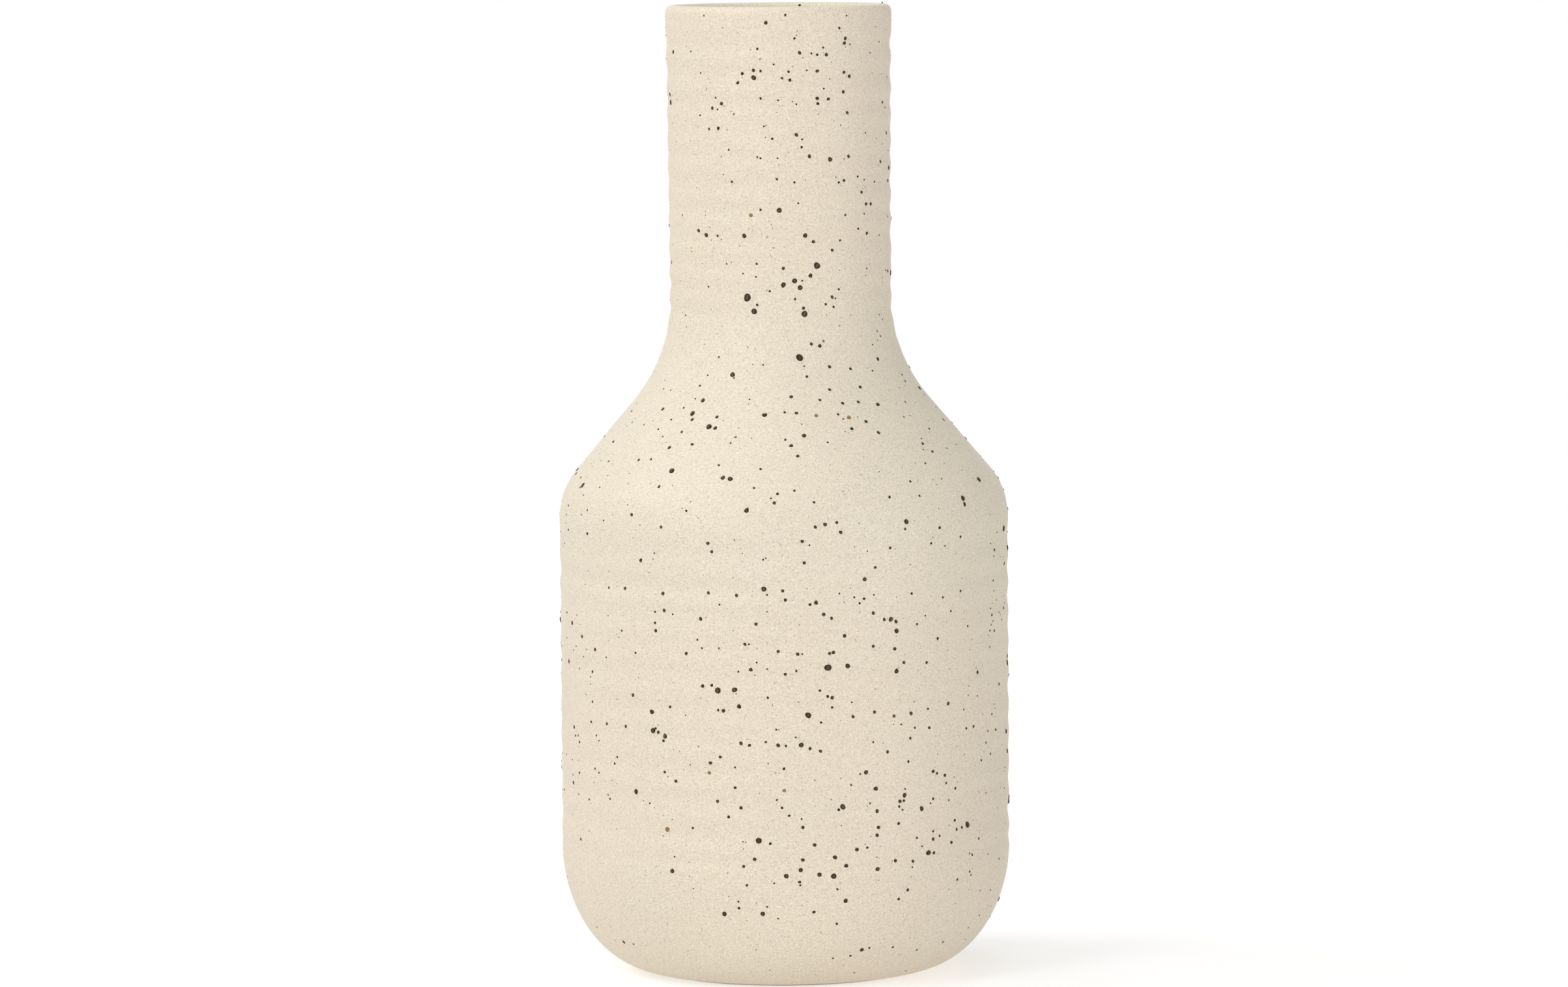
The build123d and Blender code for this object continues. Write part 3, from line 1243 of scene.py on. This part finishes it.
@dataclass
class Studio:
    """White studio: a pale table that glows a little, and soft lamps all round.

    Attributes:
        lamps: the lamps.
        ambient: strength of the light from all round.
        aim: point that the lamps face.
        table_radius: radius of the table.
        table_sides: number of its sides.
        table_gap: hair's breadth between the table and the foot, so that the two never share one plane.
        table_tone: how much light the table throws back on the vase.
        table_glow: how much light the table gives to the vase.
        seen_tone: how much light it throws back to the camera.
        seen_glow: how much light it gives to the camera beside the vase and far from it.
        glow_reach: distances between which the one passes into the other.
    """

    lamps: tuple[Lamp, ...] = (
        Lamp("key_lamp", (-1.5, -1.9, 1.25), (0.9, 1.5), 14.4),
        Lamp("front_lamp", (-0.5, -2.6, 0.35), (0.6, 1.2), 11.1),
        Lamp("top_lamp", (-0.2, 0.1, 2.2), (1.4, 1.4), 10.1),
        Lamp("left_lamp", (-2.0, 0.2, 1.8), (1.0, 1.2), 15.4),
        Lamp("right_lamp", (1.8, -1.6, 0.4), (0.9, 1.0), 10.3),
    )
    ambient: float = 0.323
    aim: tuple[float, float, float] = (0.0, 0.0, 0.14)
    table_radius: float = 1.6
    table_sides: int = 128
    table_gap: float = 0.02 * MM
    table_tone: float = 0.5
    table_glow: float = 0.331
    seen_tone: float = 0.85
    seen_glow: tuple[float, float] = (0.45, 0.64)
    glow_reach: Pair = (0.1, 1.0)

    def build(self) -> None:
        """Sets up the table and the light."""
        self.lay_table()
        self.light_room()
        for lamp in self.lamps:
            lamp.hang(Vector(self.aim))
        bpy.context.scene.view_settings.view_transform = "Standard"

    @staticmethod
    def seen(tree: bpy.types.NodeTree) -> Socket:
        """Output that is 1 for what the camera sees, also in mirrors and glass, and 0 for light on things.

        Args:
            tree: node tree to lay it in.

        Returns:
            The output.
        """
        path = tree.nodes.new("ShaderNodeLightPath")
        result = path.outputs["Is Camera Ray"]
        for name in ("Is Glossy Ray", "Is Transmission Ray"):
            either = tree.nodes.new("ShaderNodeMath")
            either.operation = "MAXIMUM"
            tree.links.new(result, either.inputs[0])
            tree.links.new(path.outputs[name], either.inputs[1])
            result = either.outputs[0]
        return result

    def lay_table(self) -> None:
        """Lays a pale round table that looks white and keeps the vase's shadow."""
        sides = self.table_sides
        angles = np.arange(sides) * math.tau / sides
        rim = np.column_stack([np.cos(angles), np.sin(angles), np.zeros(sides)]) * self.table_radius
        rim[:, 2] = -self.table_gap
        table = new_mesh_object("studio_table", rim, [list(range(sides))])
        graph = ShaderGraph("studio_table")
        away = graph.add("ShaderNodeVectorMath")
        away.operation = "LENGTH"
        graph.put(away.inputs[0], graph.place())
        seen_glow = graph.span(away.outputs["Value"], *self.glow_reach, *self.seen_glow)
        white = (1.0, 1.0, 1.0)
        shaders = []
        for tone, glow in ((self.table_tone, self.table_glow), (self.seen_tone, seen_glow)):
            lit = graph.add("ShaderNodeBsdfDiffuse", Color=(tone, tone, tone))
            shine = graph.add("ShaderNodeEmission", Color=white, Strength=glow)
            both = graph.tree.nodes.new("ShaderNodeAddShader")
            graph.put(both.inputs[0], lit.outputs[0])
            graph.put(both.inputs[1], shine.outputs[0])
            shaders.append(both.outputs[0])
        choice = graph.tree.nodes.new("ShaderNodeMixShader")
        for socket, value in zip(choice.inputs, (self.seen(graph.tree), *shaders)):
            graph.put(socket, value)
        table.data.materials.append(graph.finish(choice))

    def light_room(self) -> None:
        """Fills the room with soft light and shows it white behind the vase."""
        world = bpy.data.worlds.new("studio_room")
        world.use_nodes = True
        tree = world.node_tree
        tree.nodes.clear()
        choice = tree.nodes.new("ShaderNodeMixShader")
        tree.links.new(self.seen(tree), choice.inputs[0])
        for socket, strength in ((choice.inputs[1], self.ambient), (choice.inputs[2], 1.0)):
            background = tree.nodes.new("ShaderNodeBackground")
            background.inputs["Color"].default_value = (1.0, 1.0, 1.0, 1.0)
            background.inputs["Strength"].default_value = strength
            tree.links.new(background.outputs[0], socket)
        output = tree.nodes.new("ShaderNodeOutputWorld")
        tree.links.new(choice.outputs[0], output.inputs["Surface"])
        bpy.context.scene.world = world


def new_mesh_object(name: str, points: np.ndarray, faces: list[list[int]]) -> bpy.types.Object:
    """Makes a smooth-shaded mesh object.

    Args:
        name: name of the object.
        points: its points.
        faces: corner numbers of each face.

    Returns:
        The new object.
    """
    mesh = bpy.data.meshes.new(name)
    mesh.from_pydata(points.tolist(), [], faces)
    mesh.validate()
    mesh.shade_smooth()
    made = bpy.data.objects.new(name, mesh)
    bpy.context.scene.collection.objects.link(made)
    return made


SEEN_SPECKS: dict[SpeckWidth, tuple[Pixel, ...]] = {
    SpeckWidth.TINY: (
        (1167, 91), (1274, 121), (1217, 156), (1291, 192), (1296, 244), (1355, 221), (1111, 268),
        (1284, 272), (1178, 364), (978, 619), (1003, 646), (923, 707), (933, 730), (1231, 651), (1397, 638),
        (1350, 724), (964, 775), (983, 806), (1003, 858), (1128, 829), (1176, 857), (899, 897), (934, 945),
        (1178, 939), (901, 997), (1332, 846), (1542, 914), (1518, 975), (907, 1050), (900, 1066),
        (948, 1073), (1053, 1098), (1196, 1120), (888, 1167), (1060, 1174), (940, 1198), (879, 1250),
        (1499, 1025), (1487, 1067), (1488, 1053), (1404, 1077), (1526, 1081), (1528, 1087), (1465, 1193),
        (1532, 1240), (905, 1276), (1141, 1292), (1065, 1364), (1161, 1458),
    ),
    SpeckWidth.FINE: (
        (1081, 24), (1300, 24), (1355, 4), (1305, 68), (1350, 64), (1336, 81), (1061, 79), (1246, 82),
        (1188, 99), (1076, 112), (1239, 108), (1265, 136), (1362, 118), (1099, 150), (1195, 154),
        (1223, 160), (1359, 165), (1102, 168), (1075, 177), (1127, 175), (1173, 194), (1232, 214),
        (1329, 204), (1119, 230), (1163, 241), (1168, 243), (1194, 243), (1364, 231), (1327, 276),
        (1226, 312), (1327, 328), (1363, 332), (1048, 330), (1350, 361), (1116, 405), (1141, 420),
        (1161, 425), (1331, 412), (1360, 415), (1232, 431), (1088, 440), (1283, 458), (1053, 484),
        (1350, 483), (1355, 490), (1104, 548), (1172, 560), (1087, 576), (1019, 597), (1030, 599),
        (978, 607), (1068, 612), (1151, 613), (971, 648), (989, 652), (1018, 670), (1130, 671), (1122, 680),
        (921, 748), (1347, 508), (1352, 516), (1340, 529), (1235, 562), (1340, 569), (1385, 575),
        (1295, 643), (1271, 679), (1388, 640), (1415, 673), (1418, 690), (1454, 688), (1468, 682),
        (1446, 735), (1437, 625), (1419, 606), (896, 760), (870, 790), (893, 790), (927, 799), (861, 816),
        (867, 834), (1005, 849), (1184, 765), (1172, 859), (1178, 913), (1105, 928), (1033, 943),
        (886, 944), (871, 979), (885, 992), (881, 998), (863, 991), (896, 1008), (931, 1009), (1071, 982),
        (1078, 995), (1104, 995), (1150, 989), (1451, 838), (1243, 837), (1531, 817), (1521, 834),
        (1526, 854), (1526, 907), (1289, 911), (1312, 917), (1342, 913), (1530, 921), (1542, 925),
        (1521, 934), (1534, 940), (1421, 945), (1525, 953), (1538, 951), (1522, 959), (1520, 993),
        (1232, 1004), (890, 1026), (907, 1039), (1162, 1017), (1134, 1031), (1178, 1027), (920, 1137),
        (1192, 1120), (870, 1158), (879, 1166), (880, 1189), (1129, 1178), (889, 1219), (934, 1220),
        (998, 1233), (1193, 1228), (1501, 1068), (1308, 1078), (1480, 1089), (1384, 1112), (1222, 1132),
        (1341, 1139), (1321, 1188), (1543, 1178), (1542, 1184), (1307, 1205), (1390, 1211), (1542, 1210),
        (1514, 1217), (1429, 1233), (1457, 1228), (1386, 1243), (1336, 1233), (1231, 1257), (1036, 1315),
        (1189, 1356), (1229, 1359), (1134, 1384), (1178, 1392), (1195, 1410), (973, 1449), (917, 1423),
        (1416, 1299), (1401, 1331), (1489, 1310), (1517, 1311), (1491, 1343), (1505, 1367), (1521, 1366),
        (1504, 1405), (1487, 1424), (1482, 1442), (1279, 1471), (1391, 1490), (1312, 1493), (1299, 1509),
    ),
    SpeckWidth.SMALL: (
        (1228, 8), (1206, 23), (1220, 59), (1264, 73), (1163, 75), (1255, 84), (1168, 109), (1211, 110),
        (1201, 120), (1168, 151), (1089, 198), (1186, 213), (1231, 226), (1124, 279), (1193, 275),
        (1220, 280), (1288, 280), (1317, 271), (1343, 279), (1168, 322), (1298, 330), (1102, 362),
        (1318, 351), (1290, 369), (1162, 405), (1182, 447), (1288, 444), (1221, 459), (1268, 467),
        (1280, 471), (1163, 468), (1075, 592), (1050, 626), (970, 631), (1031, 644), (1205, 633),
        (1011, 659), (1206, 675), (1000, 705), (935, 708), (1104, 714), (1168, 720), (892, 733), (891, 748),
        (1158, 749), (1390, 585), (1390, 617), (1427, 658), (1421, 711), (1398, 739), (1220, 753),
        (873, 776), (902, 783), (1054, 784), (873, 813), (935, 902), (1006, 939), (871, 940), (955, 968),
        (976, 1002), (1250, 771), (1412, 761), (1390, 812), (1430, 834), (1525, 891), (1475, 907),
        (1327, 919), (1320, 926), (1400, 911), (1448, 917), (1460, 938), (1408, 958), (1486, 961),
        (1520, 968), (910, 1077), (1179, 1071), (1103, 1090), (884, 1129), (888, 1129), (916, 1129),
        (1007, 1118), (1176, 1139), (1207, 1145), (948, 1162), (944, 1172), (914, 1180), (920, 1186),
        (867, 1212), (905, 1227), (937, 1226), (1201, 1240), (1223, 1030), (1259, 1060), (1278, 1086),
        (1425, 1088), (1523, 1096), (1261, 1109), (1405, 1117), (1484, 1118), (1517, 1122), (1514, 1140),
        (1521, 1157), (1507, 1167), (1395, 1169), (1453, 1202), (1381, 1238), (1212, 1252), (1064, 1271),
        (1147, 1359), (1433, 1276), (1443, 1283), (1408, 1286), (1503, 1287), (1332, 1301), (1493, 1312),
        (1534, 1318), (1489, 1338), (1470, 1350), (1286, 1365), (1285, 1418), (1520, 1407), (1448, 1446),
        (1371, 1454), (1408, 1458), (1335, 1455), (1306, 1467),
    ),
    SpeckWidth.MEDIUM: (
        (1289, 43), (1278, 384), (1363, 416), (1234, 473), (1047, 663), (981, 706), (1012, 747),
        (1194, 758), (1306, 566), (1239, 578), (1274, 598), (1259, 614), (1287, 636), (1015, 809),
        (902, 819), (1093, 847), (1202, 907), (1006, 956), (1144, 989), (1195, 1000), (1366, 763),
        (1285, 802), (1443, 810), (1475, 824), (1367, 841), (1344, 871), (1244, 928), (1277, 949),
        (1523, 944), (1527, 968), (1440, 980), (1341, 992), (1274, 1003), (910, 1031), (1206, 1035),
        (1093, 1052), (1029, 1085), (908, 1108), (932, 1111), (961, 1115), (890, 1139), (1019, 1137),
        (1151, 1144), (1106, 1162), (890, 1186), (1204, 1180), (1021, 1185), (1129, 1209), (1119, 1254),
        (1423, 1017), (1271, 1069), (1373, 1099), (1427, 1117), (1495, 1115), (1529, 1120), (1398, 1133),
        (1244, 1149), (1363, 1154), (1439, 1187), (1467, 1210), (1433, 1226), (1388, 1229), (1288, 1243),
        (1466, 1259), (1380, 1264), (892, 1288), (1183, 1295), (1142, 1330), (1135, 1394), (1228, 1354),
        (1477, 1270), (1469, 1273), (1394, 1366), (1380, 1380), (1250, 1400),
    ),
    SpeckWidth.LARGE: (
        (1298, 59), (1255, 109), (1296, 111), (1304, 117), (1295, 141), (1255, 151), (1256, 159),
        (1272, 152), (1355, 157), (1301, 173), (1223, 207), (1361, 204), (1352, 248), (1296, 277),
        (1363, 277), (1323, 295), (1073, 354), (1249, 371), (1203, 412), (1278, 456), (1018, 628),
        (1063, 644), (1101, 640), (942, 678), (1028, 687), (1063, 682), (885, 727), (1246, 528),
        (1259, 531), (1274, 563), (1215, 609), (1294, 619), (1303, 641), (1308, 658), (1215, 684),
        (1417, 681), (1432, 693), (1502, 736), (1131, 914), (1206, 921), (1020, 937), (894, 977),
        (914, 997), (1267, 805), (1252, 809), (1527, 844), (1235, 864), (1541, 933), (1265, 943),
        (1341, 941), (1358, 951), (1376, 954), (1297, 976), (1374, 996), (1225, 1004), (1079, 1053),
        (882, 1116), (1011, 1124), (1195, 1144), (1102, 1230), (1388, 1017), (1534, 1050), (1278, 1071),
        (1310, 1100), (1399, 1095), (1260, 1153), (1433, 1184), (1451, 1190), (1382, 1230), (1347, 1245),
        (1159, 1319), (958, 1446), (1433, 1288), (1316, 1304), (1233, 1320), (1375, 1321), (1402, 1322),
        (1176, 35), (1228, 81), (1269, 84), (1157, 108), (1140, 113), (1133, 127), (1213, 123), (1108, 159),
        (1094, 166), (1103, 197), (1243, 240), (1303, 240), (1330, 313), (1337, 313), (1331, 358),
        (1348, 551), (1321, 594), (1318, 617), (1223, 634), (1330, 647), (1349, 664), (1225, 700),
        (1189, 772), (970, 790), (1087, 834), (984, 860), (960, 903), (1018, 911), (1088, 910), (1076, 950),
        (1161, 958), (1007, 968), (1054, 1003), (1153, 1028), (972, 1067), (1291, 817), (1232, 831),
        (1501, 1032), (1456, 1080), (1138, 1141), (1091, 1171), (1038, 1199), (1233, 1270), (1343, 1093),
        (1349, 1270), (1347, 1282), (1461, 1293), (1251, 1297), (1434, 1309), (1111, 1091), (1138, 1240),
    ),
}


def main() -> None:
    """Loads the frame, builds and dresses the vase, and sets up the studio."""
    logging.basicConfig(level=logging.INFO, format="%(name)s %(message)s")
    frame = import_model()
    low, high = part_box(Node.OUTER_GLAZE.value)
    form = VaseForm(height=high[2], barrel_radius=high[0], foot_lift=low[2])
    camera = PhotoCamera()
    iron = MeltedSpeck(
        "melted_iron", (0.034, 0.021, 0.006), (0.058, 0.037, 0.012), (0.019, 0.011, 0.003), (0.23, 0.18, 0.11)
    )
    amber = MeltedSpeck(
        "melted_ochre", (0.25, 0.16, 0.06), (0.36, 0.25, 0.11), (0.20, 0.13, 0.05), (0.48, 0.38, 0.22)
    )
    iron_solids = frame["nodes"][Node.IRON.value]
    amber_solids = frame["nodes"][Node.AMBER.value]
    pieces = [
        ClayBody("vase_clay", form, BareStoneware(), Slot.STONEWARE, (Node.CLAY,)),
        OuterCoat("vase_outer_glaze", form, CreamGlaze(), Slot.GLAZE, (Node.OUTER_GLAZE,)),
        LinerCoat("vase_liner_glaze", form, LinerGlaze(), Slot.LINER, (Node.INNER_GLAZE,)),
        PackedSpecks("iron_blisters", form, iron, Slot.IRON, (Node.IRON,), seed=41, solids=iron_solids),
        PackedSpecks("amber_blisters", form, amber, Slot.AMBER, (Node.AMBER,), seed=43, solids=amber_solids),
        FineSpecks(
            "fine_iron_specks", form, iron, Slot.IRON, seed=47, sides=10, camera=camera, seen=SEEN_SPECKS
        ),
    ]
    for piece in pieces:
        piece.settle()
    Studio().build()
    camera.build()


if __name__ == "__main__":
    main()
